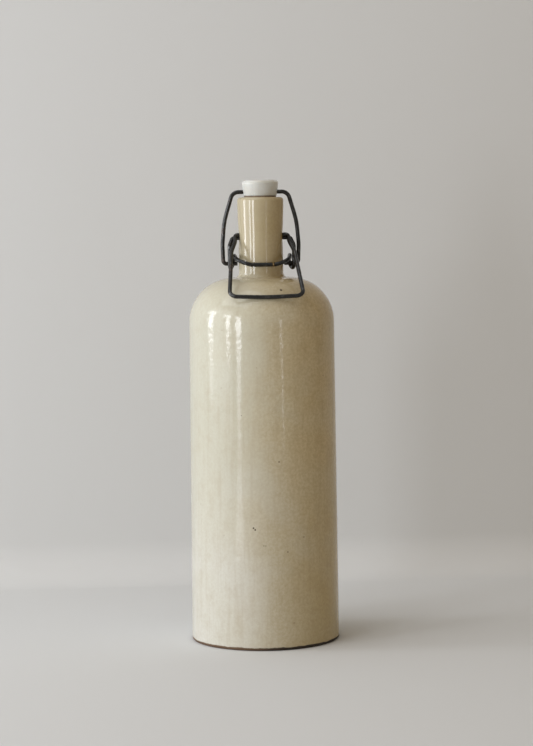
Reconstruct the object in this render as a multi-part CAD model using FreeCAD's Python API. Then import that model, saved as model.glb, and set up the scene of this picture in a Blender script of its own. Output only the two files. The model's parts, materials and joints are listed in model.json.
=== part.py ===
import FreeCAD, Part
import math
import os

# Stoneware bottle with a lever closure. Millimetres, +Z up, origin at the centre of the base.
# The lever's handle hangs in front, towards -Y, and the closure's pivots run along X.

# Bottle
foot_radius = 46.8
body_top_radius = 45.6
body_height = 228.8
shoulder_radius = 27.8
neck_radius = 14.0
neck_length = 50.3
neck_fillet = 3.0
lip_radius = 14.6
lip_height = 6.0
lip_taper = 7.0
lip_taper_round = 25.0
lip_round = 2.2
wall = 6.0
floor = 8.0
floor_round = 8.0
foot_round = 1.6
foot_ring_width = 9.0
foot_ring_slope = 1.5
base_hollow = 1.2
bore_radius = 8.3
bore_bottom_round = 4.0
seat_width = 2.1
seat_depth = 3.6
seat_round = 0.5

# Closure wires
wire_diameter = 2.6
wire_gap = 0.2
pivot_below_lip = 24.5
socket_depth = 3.4
socket_clearance = 0.2
tip_depth = 2.4
lever_side_shift = 0.5

# Lever: handle
knob_gap = 1.3
knob_bend = 1.8
arm_top_reach = 6.0
arm_top_spread = 0.3
arm_top_bend = 14.0
elbow_reach = 15.0
elbow_spread = 3.1
elbow_bend = 20.0
handle_half_width = 23.2
handle_corner_bend = 4.5
handle_rest_angle = 35.0
handle_rest_gap = 0.3
bar_bow = 1.2
bar_bow_bend = 120.0

# Lever: crank, eyes and cross wire
crank_drop = 17.0
over_centre = 1.2
crank_knee_out = 1.6
crank_knee_bend = 1.8
crank_leg_out = 3.6
crank_leg_drop = 5.6
crank_leg_bend = 4.0
eye_gap = 0.25
eye_rise_angle = 25.0
peak_forward = 4.7
peak_bend = 4.0
cross_corner_in = 1.1
cross_bend = 9.5
cross_sag = 0.4
cross_rise = 2.0
cross_flat_past = 0.5
cross_sag_bend = 4.0
stop_gap = 0.25
braze_place = 6.2
braze_length = 1.0
braze_proud = 0.3
braze_round = 0.25

# Stopper and gasket
head_bottom_radius = 10.5
head_top_radius = 11.75
head_height = 10.1
head_top_round = 1.6
head_bottom_round = 0.6
lip_to_head = 0.8
cross_hole_height = 2.5
cross_hole_clearance = 0.25
stem_radius = 6.0
bead_overlap = 1.0
bead_height = 3.2
bead_round = 1.0
gasket_thickness = 3.7
gasket_overhang = 4.0
gasket_fit = 0.1
gasket_seat_gap = 0.25
gasket_edge_round = 0.3

# Yoke
yoke_top_half = 17.3
yoke_top_bend = 5.0
yoke_waist_out = 5.5
yoke_waist_drop = 18.4
yoke_waist_bend = 50.0
yoke_widest_out = 1.2
yoke_widest_drop = 32.9
yoke_widest_bend = 30.0
yoke_eye_gap = 0.3
hook_bend = 2.2
hook_neck_gap = 0.7

# Worked out from the sizes above
wire_radius = wire_diameter / 2
lip_top = body_height + neck_length
pivot_height = lip_top - pivot_below_lip
hook_height = pivot_height - crank_drop
head_bottom = lip_top + lip_to_head
head_top = head_bottom + head_height
yoke_top = head_bottom + cross_hole_height
tip_spread = wire_diameter + wire_gap
tip_offset = tip_spread / 2 * math.sin(math.radians(45))
knob_x = neck_radius + knob_gap + wire_radius
leg_x = knob_x + crank_leg_out
eye_reach = wire_diameter + eye_gap
cross_front = -(neck_radius + wire_radius + stop_gap)
cross_height = hook_height - cross_sag
cross_flat = braze_place + braze_length / 2 + cross_flat_past
seat_slope = seat_width / seat_depth
seat_slant = math.hypot(seat_width, seat_depth)


def corner_arc(before, corner, after, bend):
    """Start, middle and end of the arc that rounds a corner between two straight runs."""
    back = (before - corner).normalize()
    ahead = (after - corner).normalize()
    half_turn = (math.pi - back.getAngle(ahead)) / 2
    cut = bend * math.tan(half_turn)
    inward = (back + ahead).normalize()
    middle = corner + inward * (bend / math.cos(half_turn) - bend)
    return corner + back * cut, middle, corner + ahead * cut


def rounded_run(points, bends):
    """Straight runs from point to point, with an arc at each inner point that has a bend."""
    edges = []
    start = points[0]
    for before, corner, after, bend in zip(points, points[1:], points[2:], bends[1:]):
        if bend == 0:
            stops = [corner]
        else:
            stops = corner_arc(before, corner, after, bend)
        if start.distanceToPoint(stops[0]) > 1e-6:
            edges.append(Part.LineSegment(start, stops[0]).toShape())
        if bend > 0:
            edges.append(Part.Arc(*stops).toShape())
        start = stops[-1]
    edges.append(Part.LineSegment(start, points[-1]).toShape())
    return edges


def turned(corners):
    """Solid of revolution about Z from rows of radius, height and rounding, closed from last to first."""
    points = [FreeCAD.Vector(radius, 0, height) for radius, height, rounding in corners]
    bends = [rounding for radius, height, rounding in corners]
    edges = rounded_run(points + points[:1], bends)
    profile = Part.Face(Part.Wire(edges))
    return profile.revolve(FreeCAD.Vector(0, 0, 0), FreeCAD.Vector(0, 0, 1), 360)


def bent_wire(rows):
    """Round wire along rows of x, y, z and bend radius."""
    points = [FreeCAD.Vector(x, y, z) for x, y, z, bend in rows]
    bends = [bend for x, y, z, bend in rows]
    path = Part.Wire(rounded_run(points, bends))
    section = Part.Wire(Part.makeCircle(wire_radius, points[0], points[1] - points[0]))
    return path.makePipeShell([section], True, False)


def cross_cylinder(radius, start_x, end_x, height):
    """Round bar along X at the given height over the bottle's axis."""
    start = FreeCAD.Vector(start_x, 0, height)
    return Part.makeCylinder(radius, end_x - start_x, start, FreeCAD.Vector(1, 0, 0))


def other_side(rows):
    """The same wire on the -X side, in the opposite order."""
    return [(-x, y, z, bend) for x, y, z, bend in reversed(rows)]


def make_bottle():
    foot_inner = foot_radius - foot_ring_width
    taper_top = lip_top - lip_height
    inside_top = body_height - wall
    body = turned([
        (0, base_hollow, 0),
        (foot_inner - foot_ring_slope, base_hollow, 0),
        (foot_inner, 0, 0),
        (foot_radius, 0, foot_round),
        (body_top_radius, body_height, shoulder_radius),
        (neck_radius, body_height, neck_fillet),
        (neck_radius, taper_top - lip_taper, lip_taper_round),
        (lip_radius, taper_top, lip_taper_round),
        (lip_radius, lip_top, lip_round),
        (bore_radius + seat_width, lip_top, seat_round),
        (bore_radius, lip_top - seat_depth, seat_round),
        (bore_radius, inside_top, bore_bottom_round),
        (body_top_radius - wall, inside_top, shoulder_radius - wall),
        (foot_radius - wall, floor, floor_round),
        (0, floor, 0),
    ])
    socket_radius = tip_spread / 2 + wire_radius + socket_clearance
    socket_bottom = neck_radius - socket_depth
    right_socket = cross_cylinder(socket_radius, socket_bottom, lip_radius, pivot_height)
    left_socket = cross_cylinder(socket_radius, -lip_radius, -socket_bottom, pivot_height)
    return body.cut(right_socket).cut(left_socket)


def make_stopper():
    stem_bottom = head_bottom - gasket_thickness - gasket_fit
    bead_radius = stem_radius + bead_overlap
    plug_bottom = stem_bottom - bead_height
    body = turned([
        (0, head_top, 0),
        (head_top_radius, head_top, head_top_round),
        (head_bottom_radius, head_bottom, head_bottom_round),
        (stem_radius, head_bottom, 0),
        (stem_radius, stem_bottom, 0),
        (bead_radius, stem_bottom, 0),
        (bead_radius, plug_bottom, bead_round),
        (0, plug_bottom, 0),
    ])
    hole_radius = wire_radius + cross_hole_clearance
    return body.cut(cross_cylinder(hole_radius, -head_top_radius, head_top_radius, yoke_top))


def make_gasket():
    inner = stem_radius + gasket_fit
    outer = stem_radius + gasket_overhang
    bottom = head_bottom - gasket_thickness
    cone_at_lip = bore_radius + seat_width - gasket_seat_gap * seat_slant / seat_depth
    cone_start = lip_top - (cone_at_lip - outer) / seat_slope
    bottom_radius = cone_at_lip - (lip_top - bottom) * seat_slope
    return turned([
        (inner, head_bottom, 0),
        (outer, head_bottom, gasket_edge_round),
        (outer, cone_start, gasket_edge_round),
        (bottom_radius, bottom, gasket_edge_round),
        (inner, bottom, 0),
    ])


def make_yoke():
    hook_x = leg_x + lever_side_shift + wire_diameter + yoke_eye_gap
    hook_end = neck_radius + hook_neck_gap
    lean = over_centre / (yoke_top - hook_height)
    waist_x = yoke_top_half + yoke_waist_out
    outline = [
        (yoke_top_half, yoke_top, yoke_top_bend),
        (waist_x, yoke_top - yoke_waist_drop, yoke_waist_bend),
        (waist_x + yoke_widest_out, yoke_top - yoke_widest_drop, yoke_widest_bend),
        (hook_x, hook_height, hook_bend),
        (hook_end, hook_height, 0),
    ]
    right = [(x, (yoke_top - z) * lean, z, bend) for x, z, bend in outline]
    return bent_wire(other_side(right) + right)


def handle_rows():
    """Right half of the handle, from the socket to the corner, and the middle of its bar."""
    reach = shoulder_radius + wire_radius + handle_rest_gap
    slant = math.radians(handle_rest_angle)
    bar_y = -(body_top_radius - shoulder_radius + reach * math.cos(slant))
    bar_z = body_height - shoulder_radius + reach * math.sin(slant)
    knob_y = -tip_offset
    knob_z = pivot_height + tip_offset
    arm = math.hypot(bar_y - knob_y, bar_z - knob_z)
    along_y = (bar_y - knob_y) / arm
    along_z = (bar_z - knob_z) / arm
    top_y = knob_y + along_y * arm_top_reach
    top_z = knob_z + along_z * arm_top_reach
    elbow_y = knob_y + along_y * elbow_reach
    elbow_z = knob_z + along_z * elbow_reach
    corner_y = bar_y - along_y * bar_bow
    corner_z = bar_z - along_z * bar_bow
    half = [
        (knob_x, knob_y, knob_z, knob_bend),
        (knob_x + arm_top_spread, top_y, top_z, arm_top_bend),
        (knob_x + elbow_spread, elbow_y, elbow_z, elbow_bend),
        (handle_half_width, corner_y, corner_z, handle_corner_bend),
    ]
    return half, [(0, bar_y, bar_z, bar_bow_bend)]


def crank_rows():
    """Right half of the crank, from the cross wire's flat, round the eye and up into the socket."""
    rise = math.radians(eye_rise_angle)
    eye_bend = eye_reach - wire_gap
    front_y = over_centre - eye_reach
    rear_y = over_centre + eye_reach
    eye_low = hook_height - eye_reach
    over_y = over_centre + eye_reach * math.sin(rise)
    over_z = hook_height + eye_reach * math.cos(rise)
    inner_x = leg_x - wire_diameter - wire_gap
    rear_z = over_z - (rear_y - over_y) * math.tan(rise)
    peak_y = over_centre - peak_forward
    peak_z = over_z + (over_y - peak_y) * math.tan(rise)
    tip_x = neck_radius - tip_depth + wire_radius
    return [
        (cross_flat, cross_front, cross_height, cross_sag_bend),
        (inner_x - cross_corner_in, cross_front, cross_height + cross_rise, cross_bend),
        (inner_x, peak_y, peak_z, peak_bend),
        (inner_x, rear_y, rear_z, eye_bend),
        ((leg_x + inner_x) / 2, rear_y, eye_low, eye_bend),
        (leg_x, front_y, eye_low, eye_bend),
        (leg_x, front_y, pivot_height - crank_leg_drop, crank_leg_bend),
        (knob_x + crank_knee_out, tip_offset, pivot_height - tip_offset, crank_knee_bend),
        (tip_x, tip_offset, pivot_height - tip_offset, tip_spread / 2),
        (tip_x, -tip_offset, pivot_height + tip_offset, tip_spread / 2),
    ]


def make_lever():
    handle, bar = handle_rows()
    right = crank_rows() + handle
    start = (braze_place + braze_length / 2, cross_front, cross_height, 0)
    end = (braze_place - braze_length / 2, cross_front, cross_height, 0)
    wire = bent_wire([start] + right + bar + other_side(right) + [end])
    return wire.translated(FreeCAD.Vector(lever_side_shift, 0, 0))


def make_lever_braze():
    radius = wire_radius + braze_proud
    start_x = braze_place - braze_length / 2
    bead = cross_cylinder(radius, start_x, start_x + braze_length, cross_height)
    rims = [edge for edge in bead.Edges if edge.Closed]
    bead = bead.makeFillet(braze_round, rims)
    return bead.translated(FreeCAD.Vector(lever_side_shift, cross_front, 0))


parts = {
    "bottle": make_bottle(),
    "stopper": make_stopper(),
    "gasket": make_gasket(),
    "yoke": make_yoke(),
    "lever": make_lever(),
    "lever_braze": make_lever_braze(),
}

os.makedirs("parts", exist_ok=True)
for name, shape in parts.items():
    shape.exportStep(f"parts/{name}.step")
    print(name, shape.isValid(), len(shape.Solids), round(shape.Volume, 1))
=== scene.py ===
import json
import math

import bmesh
import bpy
from mathutils import Matrix, Vector, noise


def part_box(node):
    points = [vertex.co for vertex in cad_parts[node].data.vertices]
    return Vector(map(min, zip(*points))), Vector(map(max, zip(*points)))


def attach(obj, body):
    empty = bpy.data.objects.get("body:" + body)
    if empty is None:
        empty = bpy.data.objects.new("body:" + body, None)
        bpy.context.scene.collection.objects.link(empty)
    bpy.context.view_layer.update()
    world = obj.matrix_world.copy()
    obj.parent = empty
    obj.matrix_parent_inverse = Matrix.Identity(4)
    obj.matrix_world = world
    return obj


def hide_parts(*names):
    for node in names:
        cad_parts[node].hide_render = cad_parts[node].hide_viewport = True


# Stoneware bottle with a lever closure. +Z is up, -Y is towards the handle, the pivots run along X.
# Pieces are shaped in millimetres and scaled to metres when they are finished.
# The stage, the lamps and the camera are placed in metres.

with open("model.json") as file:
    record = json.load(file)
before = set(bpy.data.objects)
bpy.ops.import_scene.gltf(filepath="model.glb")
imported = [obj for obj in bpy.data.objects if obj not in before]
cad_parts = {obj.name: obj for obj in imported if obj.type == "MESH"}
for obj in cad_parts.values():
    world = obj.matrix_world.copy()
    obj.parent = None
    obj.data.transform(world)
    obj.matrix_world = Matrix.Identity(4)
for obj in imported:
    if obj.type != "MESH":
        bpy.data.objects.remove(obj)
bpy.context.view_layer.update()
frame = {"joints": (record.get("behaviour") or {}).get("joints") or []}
scene = bpy.context.scene

MM = 0.001


def box_mm(node):
    low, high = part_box(node)
    return low / MM, high / MM


# Places that the solids give
joint_places = {joint["name"]: Vector(joint["pos_m"]) / MM for joint in frame["joints"]}
pivot = joint_places["lever_swing"]
hook = joint_places["yoke_swing"]
stopper_pin = joint_places["stopper_tilt"]
_, bottle_high = box_mm("bottle")
stopper_low, stopper_high = box_mm("stopper")
gasket_low, gasket_high = box_mm("gasket")
lever_low, lever_high = box_mm("lever")
braze_low, braze_high = box_mm("lever_braze")

# Bottle
foot_radius = bottle_high.x
lip_top = bottle_high.z
body_top_radius = 45.6
shoulder_top = 228.8
shoulder_round = 27.8
neck_radius = 14.0
neck_fillet = 3.0
lip_radius = 14.6
lip_height = 6.0
lip_taper = 17.0
lip_taper_round = 60.0
lip_round = 2.2
wall = 6.0
floor_height = 8.0
floor_round = 8.0
foot_round = 1.6
foot_ring_width = 9.0
foot_ring_slope = 1.5
foot_ring_round = 0.6
base_hollow = 1.2
bore_radius = 8.3
bore_bottom_round = 4.0
seat_width = 2.1
seat_depth = 3.6
seat_round = 0.5
socket_radius = 2.9
socket_depth = 3.4
socket_bottom_round = 0.4
socket_flare = 0.8
socket_flare_round = 1.0
seam_radius = 17.45
seam_half = 0.37
seam_depth = 0.25
seam_round = 0.12

# Closure wires
wire_radius = 1.3
wire_gap = 0.2
wire_width = 2 * wire_radius


# Shaping

degrees_per_step = 6
fewest_steps = 3
merge_distance = 1e-4
sharp_angle = math.radians(50)


def bend_cut(turn, bend):
    """Distance from a corner to where its bend starts, for a turn in radians."""
    return bend * math.tan(turn / 2)


def smooth_noise(place):
    """Noise between 0 and 1 that changes smoothly from place to place."""
    return noise.noise(place) * 0.5 + 0.5


def outline(rows, closed=False):
    """Outline in the XZ plane through rows of radius, height and rounding, with its corners rounded."""
    bm = bmesh.new()
    places = [Vector((radius, 0, height)) for radius, height, _ in rows]
    corners = [bm.verts.new(place) for place in places]
    for start, end in zip(corners, corners[1:]):
        bm.edges.new((start, end))
    if closed:
        bm.edges.new((corners[-1], corners[0]))
    for index, (_, _, rounding) in enumerate(rows):
        if rounding == 0:
            continue
        before, here, after = places[index - 1], places[index], places[(index + 1) % len(places)]
        turn = (here - before).angle(after - here)
        steps = max(fewest_steps, round(math.degrees(turn) / degrees_per_step))
        bmesh.ops.bevel(
            bm, geom=[corners[index]], offset=bend_cut(turn, rounding), offset_type="OFFSET", segments=steps,
            profile=0.5, affect="VERTICES", material=-1,
        )
    return bm


def divide_long_edges(bm, longest):
    """Divides each edge so that no part of it is longer than the given length."""
    for edge in list(bm.edges):
        cuts = int(edge.calc_length() / longest)
        if cuts > 0:
            bmesh.ops.subdivide_edges(bm, edges=[edge], cuts=cuts)


def turn_outline(bm, steps):
    """Turns an outline about Z into a closed shape with its faces outwards."""
    bmesh.ops.spin(
        bm, geom=bm.verts[:] + bm.edges[:], cent=(0, 0, 0), axis=(0, 0, 1), dvec=(0, 0, 0),
        angle=2 * math.pi, steps=steps, use_merge=True,
    )
    bmesh.ops.remove_doubles(bm, verts=bm.verts, dist=merge_distance)
    bmesh.ops.recalc_face_normals(bm, faces=bm.faces)
    return bm


def lay_along_x(bm, place):
    """Turns a shape made about Z so that its axis runs along X through a place."""
    quarter = Matrix.Rotation(math.pi / 2, 4, "Y")
    bmesh.ops.transform(bm, matrix=Matrix.Translation(place) @ quarter, verts=bm.verts)
    return bm


def new_object(name, bm):
    """Puts a shape into the scene as an object."""
    mesh = bpy.data.meshes.new(name)
    bm.to_mesh(mesh)
    bm.free()
    made = bpy.data.objects.new(name, mesh)
    scene.collection.objects.link(made)
    return made


def smooth_object(name, bm, material):
    made = new_object(name, bm)
    made.data.polygons.foreach_set("use_smooth", [True] * len(made.data.polygons))
    made.data.materials.append(material)
    return made


def carve(bm, *tools):
    """Cuts the tools' shapes out of a shape."""
    blank = new_object("blank", bm)
    cutters = [new_object("cutter", tool) for tool in tools]
    for cutter in cutters:
        cut = blank.modifiers.new("cut", "BOOLEAN")
        cut.operation = "DIFFERENCE"
        cut.solver = "EXACT"
        cut.object = cutter
    carved = bmesh.new()
    carved.from_object(blank, bpy.context.evaluated_depsgraph_get())
    for used in [blank] + cutters:
        bpy.data.meshes.remove(used.data)
    return carved


def finish_piece(name, bm, material, body, node):
    """Makes the piece that stands for a solid, at its real size, riding on its body."""
    bmesh.ops.scale(bm, vec=(MM, MM, MM), verts=bm.verts)
    piece = smooth_object(name, bm, material)
    piece.data.set_sharp_from_angle(angle=sharp_angle)
    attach(piece, body)
    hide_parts(node)


# Materials

def colour(red, green, blue):
    return (red, green, blue, 1.0)


def fill_inputs(tree, node, inputs):
    """Fills a node's inputs with plain values or other nodes' outputs."""
    for socket, value in inputs.items():
        if isinstance(value, bpy.types.NodeSocket):
            tree.links.new(value, node.inputs[socket])
        else:
            node.inputs[socket].default_value = value


def add_node(tree, kind, inputs, **options):
    made = tree.nodes.new("ShaderNode" + kind)
    for option, value in options.items():
        setattr(made, option, value)
    fill_inputs(tree, made, inputs)
    return made


def reckon(tree, operation, first, second=0.0):
    return add_node(tree, "Math", {0: first, 1: second}, operation=operation).outputs[0]


def times(tree, first, second):
    return reckon(tree, "MULTIPLY", first, second)


def mixed(tree, share, first, second):
    return add_node(tree, "Mix", {0: share, 6: first, 7: second}, data_type="RGBA").outputs[2]


def span(tree, value, low, high, first=0.0, last=1.0):
    """Eases a value between two limits into the range from first to last."""
    ends = {"Value": value, "From Min": low, "From Max": high, "To Min": first, "To Max": last}
    return add_node(tree, "MapRange", ends, interpolation_type="SMOOTHSTEP").outputs[0]


def ranged(tree, mask, first, last):
    """Eases a mask into the range from first to last."""
    return span(tree, mask, 0.0, 1.0, first, last)


def cloud(tree, place, size, detail=2.0, roughness=0.5, distortion=0.0):
    """Soft noise whose features are about the given size in millimetres."""
    inputs = {
        "Vector": place, "Scale": reckon(tree, "DIVIDE", 1.0, size), "Detail": detail,
        "Roughness": roughness, "Distortion": distortion,
    }
    return add_node(tree, "TexNoise", inputs).outputs["Fac"]


def stretched(tree, place, x, y, z):
    return add_node(tree, "Mapping", {"Vector": place, "Scale": (x, y, z)}).outputs[0]


def level_with_base(tree, place):
    """Place with its height taken away."""
    return stretched(tree, place, 1.0, 1.0, 0.0)


def bumped(tree, height):
    """Normal of a surface that is raised by a height in millimetres."""
    return add_node(tree, "Bump", {"Height": height, "Distance": MM}).outputs["Normal"]


def new_group(name, inputs, outputs):
    """Empty node group with the given sockets, and its two end nodes."""
    group = bpy.data.node_groups.new(name, "ShaderNodeTree")
    for socket, kind in inputs.items():
        group.interface.new_socket(socket, in_out="INPUT", socket_type="NodeSocket" + kind)
    for socket, kind in outputs.items():
        group.interface.new_socket(socket, in_out="OUTPUT", socket_type="NodeSocket" + kind)
    return group, group.nodes.new("NodeGroupInput"), group.nodes.new("NodeGroupOutput")


# Effects that several materials share. Limits are where soft noise starts to show and where it shows fully,
# and a speck's radius is a share of the specks' spacing.
tint_shift = (61.0, 23.0, 7.0)
patch_limits = (0.34, 0.66)
tint_limits = (0.36, 0.64)
grain_limits = (0.3, 0.7)
smallest_speck = 0.03
largest_speck = 0.09
swell_ring_size = 3.5
swell_ring_stretch = 0.06
peel_size = 2.4
rubbed_size = 4.0
rubbed_limits = (0.5, 0.85)
rust_size = 9.0
rust_limits = (0.56, 0.7)
iron_pit_size = 0.7


def fired_glaze_group():
    """Mottling, iron specks and surface swell of a fired glaze."""
    sizes = ("Patch Size", "Grain Size", "Speck Spacing", "Speck Share", "Ring Height", "Peel Height")
    inputs = {"Place": "Vector"} | {size: "Float" for size in sizes}
    marks = ("Patch", "Tint", "Grain", "Speck", "Height")
    group, start, end = new_group("fired_glaze", inputs, {mark: "Float" for mark in marks})
    given = start.outputs
    place = given["Place"]
    patch = cloud(group, place, given["Patch Size"], detail=3.0, roughness=0.55, distortion=0.6)
    shifted = add_node(group, "Mapping", {"Vector": place, "Location": tint_shift}).outputs[0]
    tint = cloud(group, shifted, given["Patch Size"])
    grain = cloud(group, place, given["Grain Size"], detail=4.0, roughness=0.65)
    cell_scale = reckon(group, "DIVIDE", 1.0, given["Speck Spacing"])
    cells = add_node(group, "TexVoronoi", {"Vector": place, "Scale": cell_scale})
    pick = add_node(group, "SeparateColor", {0: cells.outputs["Color"]})
    chosen = reckon(group, "LESS_THAN", pick.outputs[0], given["Speck Share"])
    reach = ranged(group, pick.outputs[1], smallest_speck, largest_speck)
    spot = reckon(group, "LESS_THAN", cells.outputs["Distance"], reach)
    drawn_out = stretched(group, place, swell_ring_stretch, swell_ring_stretch, 1.0)
    rings = cloud(group, drawn_out, swell_ring_size)
    peel = cloud(group, place, peel_size, detail=1.0)
    ring_height = times(group, rings, given["Ring Height"])
    peel_height = times(group, peel, given["Peel Height"])
    fill_inputs(group, end, {
        "Patch": span(group, patch, *patch_limits),
        "Tint": span(group, tint, *tint_limits),
        "Grain": span(group, grain, *grain_limits),
        "Speck": times(group, chosen, spot),
        "Height": reckon(group, "ADD", ring_height, peel_height),
    })
    return group


def worn_iron_group():
    """Where iron is rubbed bare, where it rusts, and its pits."""
    marks = ("Bare", "Rust", "Pits")
    group, start, end = new_group("worn_iron", {"Place": "Vector"}, {mark: "Float" for mark in marks})
    place = start.outputs["Place"]
    rubbed = cloud(group, place, rubbed_size, detail=4.0, roughness=0.6, distortion=0.5)
    bloom = cloud(group, place, rust_size, detail=5.0, roughness=0.7)
    fill_inputs(group, end, {
        "Bare": span(group, rubbed, *rubbed_limits),
        "Rust": span(group, bloom, *rust_limits),
        "Pits": cloud(group, place, iron_pit_size, detail=3.0, roughness=0.6),
    })
    return group


fired_glaze = fired_glaze_group()
worn_iron = worn_iron_group()


def new_material(name):
    """Material with a plain shader, and the piece's own coordinates in millimetres."""
    material = bpy.data.materials.new(name)
    material.use_nodes = True
    tree = material.node_tree
    shader = tree.nodes["Principled BSDF"]
    metres = add_node(tree, "TexCoord", {}).outputs["Object"]
    place = stretched(tree, metres, 1 / MM, 1 / MM, 1 / MM)
    return material, tree, shader, place


# Glaze of the bottle: tones of its two flanks, from cream on -X to a browner, darker tone on +X. The +X tone
# is partly the glaze's own and partly painted shade on the side away from the lamps
cream = colour(0.6, 0.59, 0.49)
toasted_shaded_tone = colour(0.6, 0.475, 0.265)
# Near the foot, -X gets painted light from the floor's bounce and +X gets painted shade
bounce_lit_foot = colour(0.71, 0.7, 0.635)
shaded_foot_tone = colour(0.47, 0.365, 0.165)
shade = colour(0.46, 0.385, 0.265)
deep_shade = colour(0.36, 0.265, 0.125)
clay = colour(0.15, 0.09, 0.052)
# Painted shadow on the bare foot towards +X
shadowed_clay = colour(0.03, 0.02, 0.013)
flank_start = -0.62
flank_full = 1.15
flank_unevenness = 0.25
cream_side = 0.1
shaded_side = 0.6

# Tones by height: a greenish tint at random, painted light and shade near the foot, and painted shade on the
# neck
greenish = colour(0.585, 0.56, 0.425)
greenish_share = 0.2
foot_tone_full = 10.0
foot_tone_end = 150.0
# Painted shade that darkens the neck above the shoulder
neck_shade_tone = colour(0.42, 0.325, 0.16)
neck_shade_start = 210.0
neck_shade_full = 245.0
neck_shade_share = 0.6

# Marks: two shares are those on the cream side and on the browner side, where the tone is partly painted
# shade
iron_speck = colour(0.30, 0.22, 0.13)
# Dark colour of the spots and of the painted shadow of the lever's arm
burnt_and_shadow_dark = colour(0.055, 0.033, 0.018)
mark_start = 0.45
mark_full = 0.75
blotch_size = 9.0
blotch_share = 0.22
run_width = 2.2
run_squash = 0.05
run_share = 0.2
mottle_shares = (0.2, 0.45)
speck_shares = (0.25, 0.6)
seam_dark_core = 0.15
seam_dark_reach = 0.75
seam_dark_share = 0.5
seam_dark_start = shoulder_top - 3.0
seam_dark_full = shoulder_top - 1.0

# Bare foot and surface
ragged_size = 5.0
ragged_depth = 1.6
bare_full = 0.95
bare_end = 1.4
bare_roughness = 0.7
glaze_smoothest = 0.06
glaze_roughest = 0.12
swell_fade_start = shoulder_top - 8.0
swell_fade_end = shoulder_top + 4.0
neck_swell = 0.1

# Dark spots: centre, radius and depth of colour. Most are spots the firing drew out of the clay, two are
# dark marks under the left socket, and the last four are a painted shadow of the lever's left arm on the
# neck
glaze_spots_and_arm_shadow = [
    ((9.7, -34.8, 222.0), 1.15, 1.0),
    ((-9.9, -45.2, 76.5), 0.75, 1.0),
    ((-8.9, -45.4, 75.4), 0.75, 1.0),
    ((6.3, -45.7, 117.1), 0.65, 0.8),
    ((11.1, -45.1, 61.2), 0.6, 0.75),
    ((21.5, -41.1, 69.7), 0.6, 0.6),
    ((-3.8, -46.3, 65.5), 0.7, 0.35),
    ((-2.6, -46.3, 65.4), 0.7, 0.35),
    ((-16.3, -42.9, 145.8), 0.5, 0.6),
    ((16.2, -17.9, 228.2), 1.3, 0.4),
    ((18.0, -16.4, 228.2), 1.2, 0.4),
    # Dark marks under the left socket
    ((-13.9, -1.0, 248.6), 1.0, 0.8),
    ((-13.7, -2.7, 246.8), 0.8, 0.7),
    # Painted shadow of the lever's left arm, running down and forward across the neck
    ((-11.1, -8.6, 250.7), 0.9, 0.15),
    ((-9.9, -9.9, 248.2), 0.9, 0.2),
    ((-8.8, -10.9, 246.3), 0.9, 0.2),
    ((-8.2, -11.3, 244.4), 0.8, 0.15),
]
spot_core = 0.4


def spots_on(tree, place, spots):
    """Mask of round spots with soft edges."""
    mask = None
    for centre, radius, depth in spots:
        away = add_node(tree, "VectorMath", {0: place, 1: centre}, operation="DISTANCE").outputs["Value"]
        spot = span(tree, away, spot_core * radius, radius, depth, 0.0)
        mask = spot if mask is None else reckon(tree, "MAXIMUM", mask, spot)
    return mask


def toasted_shaded_flank(tree, place, patch):
    """Share of the browner tone on one flank, from none on -X to all on +X: partly the glaze's own tone and
    partly painted shade on the side away from the lamps.
    """
    level = level_with_base(tree, place)
    facing = add_node(tree, "VectorMath", {0: level}, operation="NORMALIZE").outputs[0]
    across = add_node(tree, "SeparateXYZ", {0: facing}).outputs["X"]
    uneven = times(tree, patch, flank_unevenness)
    return span(tree, reckon(tree, "ADD", across, uneven), flank_start, flank_full)


def by_flank(tree, flank, shares):
    """Share that changes from the cream side to the browner side, whose tone is partly painted shade."""
    return span(tree, flank, cream_side, shaded_side, *shares)


def seam_darkening(tree, place, height):
    """Darker colour in the groove round the neck's base."""
    level = level_with_base(tree, place)
    radius = add_node(tree, "VectorMath", {0: level}, operation="LENGTH").outputs["Value"]
    away = reckon(tree, "ABSOLUTE", reckon(tree, "SUBTRACT", radius, seam_radius))
    groove = span(tree, away, seam_dark_core, seam_dark_reach, seam_dark_share, 0.0)
    return times(tree, groove, span(tree, height, seam_dark_start, seam_dark_full))


def glaze_tone(tree, glaze, flank, height):
    """Cream to a browner tone across the bottle, the browner +X flank partly painted shade; towards the foot
    paler on -X as painted floor-bounce light and browner on +X as painted shade; darker on the neck as
    painted shade.
    """
    upper = mixed(tree, flank, cream, toasted_shaded_tone)
    lower = mixed(tree, flank, bounce_lit_foot, shaded_foot_tone)
    tone = mixed(tree, span(tree, height, foot_tone_full, foot_tone_end, 1.0, 0.0), upper, lower)
    tone = mixed(tree, times(tree, glaze["Tint"], greenish_share), tone, greenish)
    return mixed(tree, span(tree, height, neck_shade_start, neck_shade_full, 0.0, neck_shade_share), tone, neck_shade_tone)


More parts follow.
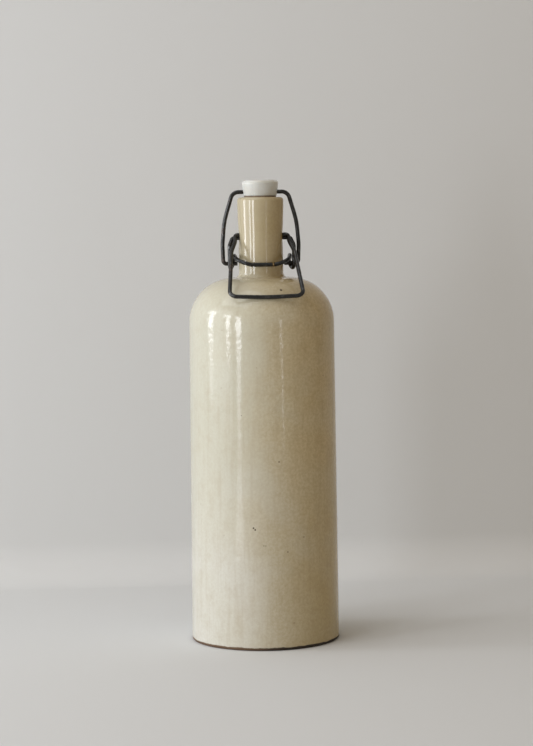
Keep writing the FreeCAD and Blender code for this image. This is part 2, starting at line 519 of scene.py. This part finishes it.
def marked_glaze(tree, place, glaze, flank, height):
    """The glaze's tone with its blotches, runs, mottling, specks, darker groove, dark spots and the painted
    shadow of the lever's arm.
    """
    tone = glaze_tone(tree, glaze, flank, height)
    # On the +X flank the marks take the deeper shade, as part of the painted shade there
    darker = mixed(tree, flank, shade, deep_shade)
    blotches = cloud(tree, place, blotch_size, detail=3.0, roughness=0.6)
    tone = mixed(tree, span(tree, blotches, mark_start, mark_full, 0.0, blotch_share), tone, darker)
    runs = cloud(tree, stretched(tree, place, 1.0, 1.0, run_squash), run_width, detail=3.0, roughness=0.6)
    tone = mixed(tree, span(tree, runs, mark_start, mark_full, 0.0, run_share), tone, darker)
    tone = mixed(tree, times(tree, glaze["Grain"], by_flank(tree, flank, mottle_shares)), tone, darker)
    tone = mixed(tree, times(tree, glaze["Speck"], by_flank(tree, flank, speck_shares)), tone, iron_speck)
    tone = mixed(tree, seam_darkening(tree, place, height), tone, iron_speck)
    # Dark spots, and the painted shadow of the lever's left arm on the neck
    return mixed(tree, spots_on(tree, place, glaze_spots_and_arm_shadow), tone, burnt_and_shadow_dark)


def bare_foot(tree, place, height):
    """Mask of the bare clay at the foot, with a ragged edge."""
    ragged = cloud(tree, place, ragged_size, detail=4.0, roughness=0.6)
    edge = reckon(tree, "ADD", height, times(tree, ragged, -ragged_depth))
    return span(tree, edge, bare_full, bare_end, 1.0, 0.0)


def stoneware_glaze():
    material, tree, shader, place = new_material("stoneware_glaze")
    glaze = add_node(tree, "Group", {
        "Place": place, "Patch Size": 38.0, "Grain Size": 1.6, "Speck Spacing": 7.0, "Speck Share": 0.2,
        "Ring Height": 0.05, "Peel Height": 0.05,
    }, node_tree=fired_glaze).outputs
    height = add_node(tree, "SeparateXYZ", {0: place}).outputs["Z"]
    flank = toasted_shaded_flank(tree, place, glaze["Patch"])
    body = marked_glaze(tree, place, glaze, flank, height)
    bare = bare_foot(tree, place, height)
    # The bare foot turns near black towards +X: painted shadow where the foot meets the floor on the side
    # away from the lamps
    foot = mixed(tree, span(tree, flank, 0.0, shaded_side), clay, shadowed_clay)
    gloss = ranged(tree, glaze["Grain"], glaze_smoothest, glaze_roughest)
    dry = ranged(tree, bare, 0.0, bare_roughness)
    swell = span(tree, height, swell_fade_start, swell_fade_end, 1.0, neck_swell)
    fill_inputs(tree, shader, {
        "Base Color": mixed(tree, bare, body, foot),
        "Roughness": reckon(tree, "ADD", gloss, dry),
        "Normal": bumped(tree, times(tree, glaze["Height"], swell)),
    })
    return material


def porcelain():
    material, tree, shader, place = new_material("porcelain")
    glaze = add_node(tree, "Group", {
        "Place": place, "Patch Size": 9.0, "Grain Size": 1.1, "Speck Spacing": 5.0, "Speck Share": 0.05,
        "Ring Height": 0.02, "Peel Height": 0.03,
    }, node_tree=fired_glaze).outputs
    white = colour(0.66, 0.67, 0.645)
    ivory = colour(0.63, 0.63, 0.59)
    grey = colour(0.6, 0.59, 0.56)
    grey_share = 0.25
    speck = colour(0.30, 0.26, 0.20)
    body = mixed(tree, glaze["Patch"], white, ivory)
    body = mixed(tree, times(tree, glaze["Grain"], grey_share), body, grey)
    fill_inputs(tree, shader, {
        "Base Color": mixed(tree, glaze["Speck"], body, speck),
        "Roughness": ranged(tree, glaze["Tint"], 0.05, 0.1),
        "Subsurface Weight": 0.6,
        "Subsurface Radius": (1.0, 0.9, 0.8),
        "Subsurface Scale": 5 * MM,
        "Normal": bumped(tree, glaze["Height"]),
    })
    return material


def gasket_rubber():
    material, tree, shader, place = new_material("gasket_rubber")
    dark = colour(0.2, 0.14, 0.09)
    faded = colour(0.31, 0.235, 0.16)
    bloom_size = 3.0
    grain_size = 0.5
    grain_height = 0.05
    bloom = cloud(tree, place, bloom_size, detail=4.0, roughness=0.6)
    grain = cloud(tree, place, grain_size)
    fill_inputs(tree, shader, {
        "Base Color": mixed(tree, span(tree, bloom, 0.4, 0.65), dark, faded),
        "Roughness": span(tree, bloom, 0.3, 0.7, 0.6, 0.85),
        "Normal": bumped(tree, times(tree, grain, grain_height)),
    })
    return material


def blackened_iron():
    material, tree, shader, place = new_material("blackened_iron")
    iron = add_node(tree, "Group", {"Place": place}, node_tree=worn_iron).outputs
    black = colour(0.043, 0.0425, 0.042)
    bare = colour(0.18, 0.178, 0.174)
    rust = colour(0.14, 0.07, 0.035)
    rust_share = 0.3
    pit_height = 0.03
    body = mixed(tree, iron["Bare"], black, bare)
    fill_inputs(tree, shader, {
        "Base Color": mixed(tree, times(tree, iron["Rust"], rust_share), body, rust),
        "Metallic": ranged(tree, iron["Rust"], 0.85, 0.4),
        "Roughness": ranged(tree, iron["Bare"], 0.25, 0.2),
        "Normal": bumped(tree, times(tree, iron["Pits"], pit_height)),
    })
    return material


def tarnished_braze():
    material, tree, shader, place = new_material("tarnished_braze")
    iron = add_node(tree, "Group", {"Place": place}, node_tree=worn_iron).outputs
    brass = colour(0.30, 0.20, 0.085)
    dull = colour(0.10, 0.065, 0.035)
    rust = colour(0.19, 0.085, 0.04)
    pit_height = 0.12
    body = mixed(tree, iron["Pits"], dull, brass)
    fill_inputs(tree, shader, {
        "Base Color": mixed(tree, iron["Rust"], body, rust),
        "Metallic": ranged(tree, iron["Rust"], 0.8, 0.3),
        "Roughness": span(tree, iron["Pits"], 0.3, 0.7, 0.4, 0.65),
        "Normal": bumped(tree, times(tree, iron["Pits"], pit_height)),
    })
    return material


# Bottle

turning_steps = 176
ring_spacing = 1.7
hand_wobble = 0.12
hand_wobble_size = 26.0
throwing_ring = 0.04
throwing_ring_size = 5.0
throwing_ring_reach = 60.0
socket_dimple = 0.45
socket_dimple_reach = 4.2
socket_steps = 48
tool_past_lip = 2.0
on_axis = 1e-3


def soften_bottle(bm):
    """Takes a little off the outside, unevenly, as hands do, and dimples it round the sockets."""
    bm.normal_update()
    ring_squash = Vector((1 / throwing_ring_reach, 1 / throwing_ring_reach, 1 / throwing_ring_size))
    for vert in bm.verts:
        radius = vert.co.xy.length
        if radius < on_axis:
            continue
        outwards = max(0, vert.normal.xy.dot(vert.co.xy) / radius)
        broad = smooth_noise(vert.co / hand_wobble_size)
        ring = smooth_noise(vert.co * ring_squash)
        beside = Vector((abs(vert.co.x), vert.co.y, vert.co.z)) - Vector((neck_radius, 0, pivot.z))
        depth = (hand_wobble * broad + throwing_ring * ring) * radius / foot_radius
        depth += socket_dimple * math.exp(-((beside.length / socket_dimple_reach) ** 2))
        vert.co.xy *= (radius - depth * outwards) / radius


def socket_tool(side):
    """Blind socket for the lever's end, with a flared rim, on the side +1 or -1."""
    bottom = neck_radius - socket_depth
    rim = neck_radius - socket_dimple - socket_flare
    outside = lip_radius + tool_past_lip
    shape = turn_outline(outline([
        (0, bottom, 0),
        (socket_radius, bottom, socket_bottom_round),
        (socket_radius, rim, socket_flare_round),
        (socket_radius + socket_flare, rim + 2 * socket_flare, 0),
        (socket_radius + socket_flare, outside, 0),
        (0, outside, 0),
    ]), socket_steps)
    lay_along_x(shape, Vector((0, 0, pivot.z)))
    if side < 0:
        bmesh.ops.rotate(shape, verts=shape.verts, cent=(0, 0, 0), matrix=Matrix.Rotation(math.pi, 3, "Z"))
    return shape


def make_bottle(material):
    foot_inner = foot_radius - foot_ring_width
    taper_top = lip_top - lip_height
    inside_top = shoulder_top - wall
    shape = outline([
        (0, base_hollow, 0),
        (foot_inner - foot_ring_slope, base_hollow, foot_ring_round),
        (foot_inner, 0, foot_ring_round),
        (foot_radius, 0, foot_round),
        (body_top_radius, shoulder_top, shoulder_round),
        (seam_radius + seam_half, shoulder_top, seam_round),
        (seam_radius, shoulder_top - seam_depth, seam_round),
        (seam_radius - seam_half, shoulder_top, seam_round),
        (neck_radius, shoulder_top, neck_fillet),
        (neck_radius, taper_top - lip_taper, lip_taper_round),
        (lip_radius, taper_top, lip_taper_round),
        (lip_radius, lip_top, lip_round),
        (bore_radius + seat_width, lip_top, seat_round),
        (bore_radius, lip_top - seat_depth, seat_round),
        (bore_radius, inside_top, bore_bottom_round),
        (body_top_radius - wall, inside_top, shoulder_round - wall),
        (foot_radius - wall, floor_height, floor_round),
        (0, floor_height, 0),
    ])
    divide_long_edges(shape, ring_spacing)
    turn_outline(shape, turning_steps)
    soften_bottle(shape)
    shape = carve(shape, socket_tool(1), socket_tool(-1))
    finish_piece("bottle_glazed", shape, material, "bottle", "bottle")


# Stopper and gasket

head_top_radius = 11.75
head_bottom_radius = 10.5
head_height = 10.1
head_top_round = 2.2
head_bottom_round = 0.6
head_dome = 0.35
head_dome_round = 30.0
head_wobble = 0.006
head_wobble_size = 6.0
stem_radius = 6.0
stem_top_round = 0.3
stem_bottom_round = 0.2
bead_overlap = 1.0
bead_height = 3.2
bead_top_round = 0.5
bead_round = 1.0
stopper_steps = 128
stopper_spacing = 0.6
pin_hole_radius = 1.55
pin_hole_flare = 1.05
pin_hole_flare_depth = 0.3
pin_hole_round = 1.0
pin_hole_steps = 40
tool_past_head = 1.0
gasket_inner = 6.1
gasket_inner_edge = 0.1
gasket_cone_bottom = 8.4
gasket_cone_height = 2.7
gasket_edge = 0.3
gasket_steps = 96
gasket_spacing = 0.5


def pin_hole_tool():
    """Cross hole for the yoke, flared at both ends."""
    half = head_top_radius + tool_past_head
    face = head_bottom_radius - pin_hole_flare_depth
    shape = turn_outline(outline([
        (0, -half, 0),
        (pin_hole_radius + pin_hole_flare, -half, 0),
        (pin_hole_radius, -face, pin_hole_round),
        (pin_hole_radius, face, pin_hole_round),
        (pin_hole_radius + pin_hole_flare, half, 0),
        (0, half, 0),
    ]), pin_hole_steps)
    return lay_along_x(shape, Vector((0, 0, stopper_pin.z)))


def make_stopper(material):
    head_top = stopper_high.z
    head_bottom = head_top - head_height
    plug_bottom = stopper_low.z
    stem_bottom = plug_bottom + bead_height
    bead_radius = stem_radius + bead_overlap
    # At half its radius the dome has dropped by a quarter, as a shallow arc does
    shape = outline([
        (0, head_top, 0),
        (head_top_radius / 2, head_top - head_dome / 4, head_dome_round),
        (head_top_radius, head_top - head_dome, head_top_round),
        (head_bottom_radius, head_bottom, head_bottom_round),
        (stem_radius, head_bottom, stem_top_round),
        (stem_radius, stem_bottom, stem_bottom_round),
        (bead_radius, stem_bottom, bead_top_round),
        (bead_radius, plug_bottom, bead_round),
        (0, plug_bottom, 0),
    ])
    divide_long_edges(shape, stopper_spacing)
    turn_outline(shape, stopper_steps)
    for vert in shape.verts:
        if vert.co.z > head_bottom and vert.co.xy.length > stem_radius:
            vert.co.xy *= 1 - head_wobble * smooth_noise(vert.co / head_wobble_size)
    shape = carve(shape, pin_hole_tool())
    finish_piece("stopper_porcelain", shape, material, "stopper", "stopper")


def make_gasket(material):
    outer = gasket_high.x
    shape = outline([
        (gasket_inner, gasket_high.z, gasket_inner_edge),
        (outer, gasket_high.z, gasket_edge),
        (outer, gasket_low.z + gasket_cone_height, gasket_edge),
        (gasket_cone_bottom, gasket_low.z, gasket_edge),
        (gasket_inner, gasket_low.z, gasket_inner_edge),
    ], closed=True)
    divide_long_edges(shape, gasket_spacing)
    turn_outline(shape, gasket_steps)
    finish_piece("gasket_ring", shape, material, "stopper", "gasket")


# Wires

wire_sides = 16
wire_step = 0.8
bend_step = math.radians(8)
shortest_push = 1e-3
filed_edge = 0.3
filed_steps = 3
pit_depth = 0.03
pit_size = 2.2


def ring_of(geometry):
    return [part for part in geometry if isinstance(part, bmesh.types.BMEdge)]


def push_wire(bm, ring, travel):
    """Draws the wire's open end straight on, in short steps."""
    steps = max(1, round(travel.length / wire_step))
    for _ in range(steps):
        made = bmesh.ops.extrude_edge_only(bm, edges=ring)["geom"]
        ring = ring_of(made)
        moved = {vert for edge in ring for vert in edge.verts}
        bmesh.ops.translate(bm, verts=list(moved), vec=travel / steps)
    return ring


def bend_wire(bm, ring, start, heading, after, bend):
    """Bends the wire's open end round to a new heading."""
    turn = heading.angle(after)
    axis = heading.cross(after).normalized()
    centre = start + axis.cross(heading) * bend
    ends = list({vert for edge in ring for vert in edge.verts})
    steps = max(fewest_steps, round(turn / bend_step))
    made = bmesh.ops.spin(
        bm, geom=ends + ring, cent=centre, axis=axis, dvec=(0, 0, 0), angle=turn, steps=steps,
    )["geom_last"]
    return ring_of(made)


def close_end(bm, ring):
    """Closes the wire's end with a face whose rim is rounded, as a filed end is."""
    cap = bmesh.ops.edgeloop_fill(bm, edges=ring)["faces"]
    rim = [edge for face in cap for edge in face.edges]
    bmesh.ops.bevel(
        bm, geom=rim, offset=filed_edge, offset_type="OFFSET", segments=filed_steps, profile=0.5,
        affect="EDGES", material=-1,
    )


def bent_wire(rows):
    """Round wire with pits, through rows of x, y, z and bend radius."""
    bm = bmesh.new()
    places = [Vector(row[:3]) for row in rows]
    bends = [row[3] for row in rows]
    heading = (places[1] - places[0]).normalized()
    section = Matrix.Translation(places[0]) @ heading.to_track_quat("Z", "Y").to_matrix().to_4x4()
    bmesh.ops.create_circle(bm, segments=wire_sides, radius=wire_radius, matrix=section)
    first = bm.edges[:]
    ring = first
    here = places[0]
    for corner, after, bend in zip(places[1:], places[2:], bends[1:]):
        onward = (after - corner).normalized()
        cut = bend_cut(heading.angle(onward), bend)
        start = corner - heading * cut
        if (start - here).length > shortest_push:
            ring = push_wire(bm, ring, start - here)
        ring = bend_wire(bm, ring, start, heading, onward, bend)
        here = corner + onward * cut
        heading = onward
    ring = push_wire(bm, ring, places[-1] - here)
    close_end(bm, first)
    close_end(bm, ring)
    bmesh.ops.recalc_face_normals(bm, faces=bm.faces)
    bm.normal_update()
    for vert in bm.verts:
        vert.co -= vert.normal * pit_depth * smooth_noise(vert.co / pit_size)
    return bm


def other_side(rows):
    return [(-x, y, z, bend) for x, y, z, bend in reversed(rows)]


# Yoke: distance from the middle, drop below the stopper's pin, and bend radius
pin_to_hook = stopper_pin.z - hook.z
yoke_outline = [
    (17.3, 0.0, 5.0),
    (22.8, 18.4, 50.0),
    (24.0, 32.9, 30.0),
    (23.6, pin_to_hook, 2.2),
    (14.7, pin_to_hook, 0.0),
]


def make_yoke(material):
    lean = hook.y / pin_to_hook
    right = [(x, drop * lean, stopper_pin.z - drop, bend) for x, drop, bend in yoke_outline]
    shape = bent_wire(other_side(right) + right)
    finish_piece("yoke_wire", shape, material, "yoke", "yoke")


# Lever
lever_shift = (lever_low.x + lever_high.x) / 2
handle_half = (lever_high.x - lever_low.x) / 2 - wire_radius
bar_y = lever_low.y + wire_radius
bar_z = lever_low.z + wire_radius
bar_bow = 1.2
bar_bow_bend = 120.0
handle_corner_bend = 4.5
tip_spread = wire_width + wire_gap
tip_slant = math.radians(45)
tip_offset = tip_spread / 2 * math.sin(tip_slant)
tip_depth = 2.4
knob_gap = 1.3
knob_x = neck_radius + knob_gap + wire_radius
knob_bend = 1.8
arm_top_reach = 6.0
arm_top_spread = 0.3
arm_top_bend = 14.0
elbow_reach = 15.0
elbow_spread = 3.1
elbow_bend = 20.0
leg_out = 3.6
leg_x = knob_x + leg_out
leg_drop = 5.6
leg_bend = 4.0
knee_out = 1.6
eye_gap = 0.25
eye_reach = wire_width + eye_gap
eye_rise = math.radians(25)
peak_forward = 4.7
peak_bend = 4.0
cross_corner_in = 1.1
cross_bend = 9.5
cross_rise = 2.0
cross_sag_bend = 4.0
cross_flat_past = 0.5

# Braze
braze_middle = (braze_low + braze_high) / 2
braze_gap = 0.5
braze_end_share = 0.84
braze_end_round = 0.2
braze_middle_round = 0.6
braze_lump = 0.1
braze_lump_size = 0.8
braze_steps = 40


def handle_rows():
    """Right half of the handle, from the socket to the corner."""
    knob = Vector((knob_x, -tip_offset, pivot.z + tip_offset))
    reach = Vector((0, bar_y - knob.y, bar_z - knob.z)).normalized()
    top = knob + reach * arm_top_reach
    elbow = knob + reach * elbow_reach
    corner = Vector((0, bar_y, bar_z)) - reach * bar_bow
    return [
        (knob.x, knob.y, knob.z, knob_bend),
        (top.x + arm_top_spread, top.y, top.z, arm_top_bend),
        (elbow.x + elbow_spread, elbow.y, elbow.z, elbow_bend),
        (handle_half, corner.y, corner.z, handle_corner_bend),
    ]


def crank_rows():
    """Right half of the crank, from the cross wire's flat, round the eye and up into the socket."""
    cross_flat = braze_middle.x - lever_shift + braze_gap + cross_flat_past
    eye_bend = eye_reach - wire_gap
    front_y = hook.y - eye_reach
    rear_y = hook.y + eye_reach
    eye_low = hook.z - eye_reach
    over_y = hook.y + eye_reach * math.sin(eye_rise)
    over_z = hook.z + eye_reach * math.cos(eye_rise)
    inner_x = leg_x - tip_spread
    peak_y = hook.y - peak_forward
    tip_x = neck_radius - tip_depth + wire_radius
    return [
        (cross_flat, braze_middle.y, braze_middle.z, cross_sag_bend),
        (inner_x - cross_corner_in, braze_middle.y, braze_middle.z + cross_rise, cross_bend),
        (inner_x, peak_y, over_z + (over_y - peak_y) * math.tan(eye_rise), peak_bend),
        (inner_x, rear_y, over_z - (rear_y - over_y) * math.tan(eye_rise), eye_bend),
        ((leg_x + inner_x) / 2, rear_y, eye_low, eye_bend),
        (leg_x, front_y, eye_low, eye_bend),
        (leg_x, front_y, pivot.z - leg_drop, leg_bend),
        (knob_x + knee_out, tip_offset, pivot.z - tip_offset, knob_bend),
        (tip_x, tip_offset, pivot.z - tip_offset, tip_spread / 2),
        (tip_x, -tip_offset, pivot.z + tip_offset, tip_spread / 2),
    ]


def make_lever(material):
    right = crank_rows() + handle_rows()
    braze_x = braze_middle.x - lever_shift
    start = (braze_x + braze_gap, braze_middle.y, braze_middle.z, 0)
    end = (braze_x - braze_gap, braze_middle.y, braze_middle.z, 0)
    shape = bent_wire([start] + right + [(0, bar_y, bar_z, bar_bow_bend)] + other_side(right) + [end])
    bmesh.ops.translate(shape, verts=shape.verts, vec=(lever_shift, 0, 0))
    finish_piece("lever_wire", shape, material, "lever", "lever")


def make_braze(material):
    half = (braze_high.x - braze_low.x) / 2
    radius = (braze_high.z - braze_low.z) / 2
    shape = turn_outline(outline([
        (0, -half, 0),
        (radius * braze_end_share, -half, braze_end_round),
        (radius, 0, braze_middle_round),
        (radius * braze_end_share, half, braze_end_round),
        (0, half, 0),
    ]), braze_steps)
    for vert in shape.verts:
        vert.co.xy *= 1 - braze_lump * smooth_noise(vert.co / braze_lump_size)
    lay_along_x(shape, braze_middle)
    finish_piece("braze_bead", shape, material, "lever", "lever_braze")


# Floor and backdrop

floor_reach = 4.0
floor_sides = 96
backdrop_behind = 0.224
backdrop_height = 1.8
backdrop_half = 2.0
sweep_radius = 0.03
sweep_steps = 12
fade_start = 0.7
fade_end = 1.3
background = colour(0.4, 0.385, 0.35)


def pale_paper():
    """Plain pale material that fades into the background far off, and is seen through from behind."""
    material = bpy.data.materials.new("pale_paper")
    material.use_nodes = True
    tree = material.node_tree
    shader = tree.nodes["Principled BSDF"]
    fill_inputs(tree, shader, {
        "Base Color": colour(0.715, 0.725, 0.73), "Roughness": 0.95, "Specular IOR Level": 0.1,
    })
    metres = add_node(tree, "TexCoord", {}).outputs["Object"]
    away = add_node(tree, "VectorMath", {0: metres}, operation="LENGTH").outputs["Value"]
    seen = add_node(tree, "LightPath", {}).outputs["Is Camera Ray"]
    far_off = times(tree, span(tree, away, fade_start, fade_end), seen)
    haze = add_node(tree, "Emission", {"Color": background})
    paper = add_node(tree, "MixShader", {0: far_off, 1: shader.outputs[0], 2: haze.outputs[0]})
    clear = add_node(tree, "BsdfTransparent", {})
    behind = add_node(tree, "NewGeometry", {}).outputs["Backfacing"]
    shown = add_node(tree, "MixShader", {0: behind, 1: paper.outputs[0], 2: clear.outputs[0]})
    fill_inputs(tree, tree.nodes["Material Output"], {"Surface": shown.outputs[0]})
    return material


def make_floor(material):
    floor = bmesh.new()
    bmesh.ops.create_circle(floor, cap_ends=True, segments=floor_sides, radius=floor_reach)
    smooth_object("floor", floor, material)


def make_backdrop(material):
    """Wall behind the bottle that curves up out of the floor."""
    sweep = bmesh.new()
    front = backdrop_behind - sweep_radius
    start = sweep.verts.new((-backdrop_half, front, 0))
    bmesh.ops.spin(
        sweep, geom=[start], cent=(0, front, sweep_radius), axis=(1, 0, 0), dvec=(0, 0, 0),
        angle=math.pi / 2, steps=sweep_steps,
    )
    top = max(sweep.verts, key=lambda vert: vert.co.z)
    raised = bmesh.ops.extrude_vert_indiv(sweep, verts=[top])["verts"]
    bmesh.ops.translate(sweep, verts=raised, vec=(0, 0, backdrop_height))
    side = bmesh.ops.extrude_edge_only(sweep, edges=sweep.edges[:])["geom"]
    far = [part for part in side if isinstance(part, bmesh.types.BMVert)]
    bmesh.ops.translate(sweep, verts=far, vec=(2 * backdrop_half, 0, 0))
    smooth_object("backdrop", sweep, material)


# Light: bearings are in degrees from -Y towards -X, and glow is how bright a lamp looks from ahead

daylight = (0.96, 1.0, 1.06)
room_fill = colour(1.0, 0.78, 0.5)
room_fill_strength = 0.3
window_spread = math.radians(110)

# Upright lamps: name, bearing, distance, width, bottom, top and glow
windows = [
    ("side_window", 91.5, 1.3, 0.24, 0.13, 0.57, 8.0),
    ("side_fanlight", 94.5, 1.3, 0.44, 0.57, 0.76, 8.0),
    ("side_sill", 91.5, 1.3, 0.2, 0.05, 0.13, 1.2),
    ("middle_window", 58.2, 1.3, 0.15, 0.125, 0.54, 8.5),
    ("middle_fanlight", 61.4, 1.3, 0.28, 0.54, 0.69, 8.5),
    ("front_window", 40.8, 1.2, 0.175, 0.125, 0.6, 9.5),
    ("front_sill", 40.8, 1.2, 0.12, 0.02, 0.125, 3.5),
    ("far_gap", -25.0, 1.3, 0.035, 0.12, 0.4, 5.0),
    ("far_sill", -27.0, 1.3, 0.03, 0.01, 0.12, 4.0),
]

# Lamp that lies on the floor and runs away from the bottle
gleam_bearing = 41.0
gleam_near = 0.45
gleam_far = 1.15
gleam_width = 0.12
gleam_height = 0.002
gleam_glow = 1.8

# Square lamps that face the bottle's middle: name, bearing, elevation, distance, size and glow
softboxes = [
    ("side_light", 74.0, 12.0, 1.7, 1.3, 1.48),
    ("top_light", 60.0, 65.0, 1.7, 1.4, 1.42),
]


def add_lamp(name, bearing, distance, height, width, length, glow, tilt=0.0, spread=math.pi):
    """Lit rectangle that the camera doesn't see. Tilt is how far it looks down, in radians."""
    half_spread = spread / 2
    focus = math.tan(half_spread) / (math.tan(half_spread) - half_spread)
    lamp = bpy.data.lights.new(name, "AREA")
    lamp.shape = "RECTANGLE"
    lamp.size = width
    lamp.size_y = length
    lamp.spread = spread
    lamp.energy = glow * math.pi * width * length / focus
    lamp.color = daylight
    made = bpy.data.objects.new(name, lamp)
    angle = math.radians(bearing)
    made.location = (-distance * math.sin(angle), -distance * math.cos(angle), height)
    made.rotation_euler = (math.pi / 2 - tilt, 0, -angle)
    made.visible_camera = False
    scene.collection.objects.link(made)


def make_lamps():
    for name, bearing, distance, width, bottom, top, glow in windows:
        middle = (bottom + top) / 2
        add_lamp(name, bearing, distance, middle, width, top - bottom, glow, spread=window_spread)
    gleam_middle = (gleam_near + gleam_far) / 2
    add_lamp(
        "floor_gleam", gleam_bearing, gleam_middle, gleam_height, gleam_width, gleam_far - gleam_near,
        gleam_glow, tilt=-math.pi / 2,
    )
    for name, bearing, elevation, distance, size, glow in softboxes:
        rise = math.radians(elevation)
        height = lip_top * MM / 2 + distance * math.sin(rise)
        add_lamp(name, bearing, distance * math.cos(rise), height, size, size, glow, tilt=rise)


def make_room():
    """Warm fill light from all round, behind the plain background that is seen and mirrored."""
    world = bpy.data.worlds.new("room")
    scene.world = world
    world.use_nodes = True
    tree = world.node_tree
    fill = tree.nodes["Background"]
    fill_inputs(tree, fill, {"Color": room_fill, "Strength": room_fill_strength})
    pale = add_node(tree, "Background", {"Color": background})
    path = add_node(tree, "LightPath", {}).outputs
    mirrored = reckon(tree, "MAXIMUM", path["Is Glossy Ray"], path["Is Transmission Ray"])
    seen = reckon(tree, "MAXIMUM", path["Is Camera Ray"], mirrored)
    shown = add_node(tree, "MixShader", {0: seen, 1: fill.outputs[0], 2: pale.outputs[0]})
    fill_inputs(tree, tree.nodes["World Output"], {"Surface": shown.outputs[0]})


# Camera

camera_bearing = -4.0
camera_distance = 1.4
camera_height = 0.2772
camera_pitch = 4.445
camera_yaw = 0.105
camera_roll = 0.75
camera_lens = 107.35
film_height = 36.0


def make_camera():
    camera = bpy.data.cameras.new("camera")
    camera.sensor_fit = "VERTICAL"
    camera.sensor_height = film_height
    camera.lens = camera_lens
    made = bpy.data.objects.new("camera", camera)
    scene.collection.objects.link(made)
    turn = math.radians(camera_bearing)
    place = Vector((math.sin(turn) * camera_distance, -math.cos(turn) * camera_distance, camera_height))
    made.matrix_world = (
        Matrix.Translation(place)
        @ Matrix.Rotation(math.radians(camera_bearing - camera_yaw), 4, "Z")
        @ Matrix.Rotation(math.radians(90 - camera_pitch), 4, "X")
        @ Matrix.Rotation(math.radians(-camera_roll), 4, "Z")
    )
    scene.camera = made


# Scene

make_bottle(stoneware_glaze())
make_stopper(porcelain())
make_gasket(gasket_rubber())
iron_wire = blackened_iron()
make_yoke(iron_wire)
make_lever(iron_wire)
make_braze(tarnished_braze())
paper = pale_paper()
make_floor(paper)
make_backdrop(paper)
make_lamps()
make_room()
make_camera()
scene.view_settings.view_transform = "Standard"
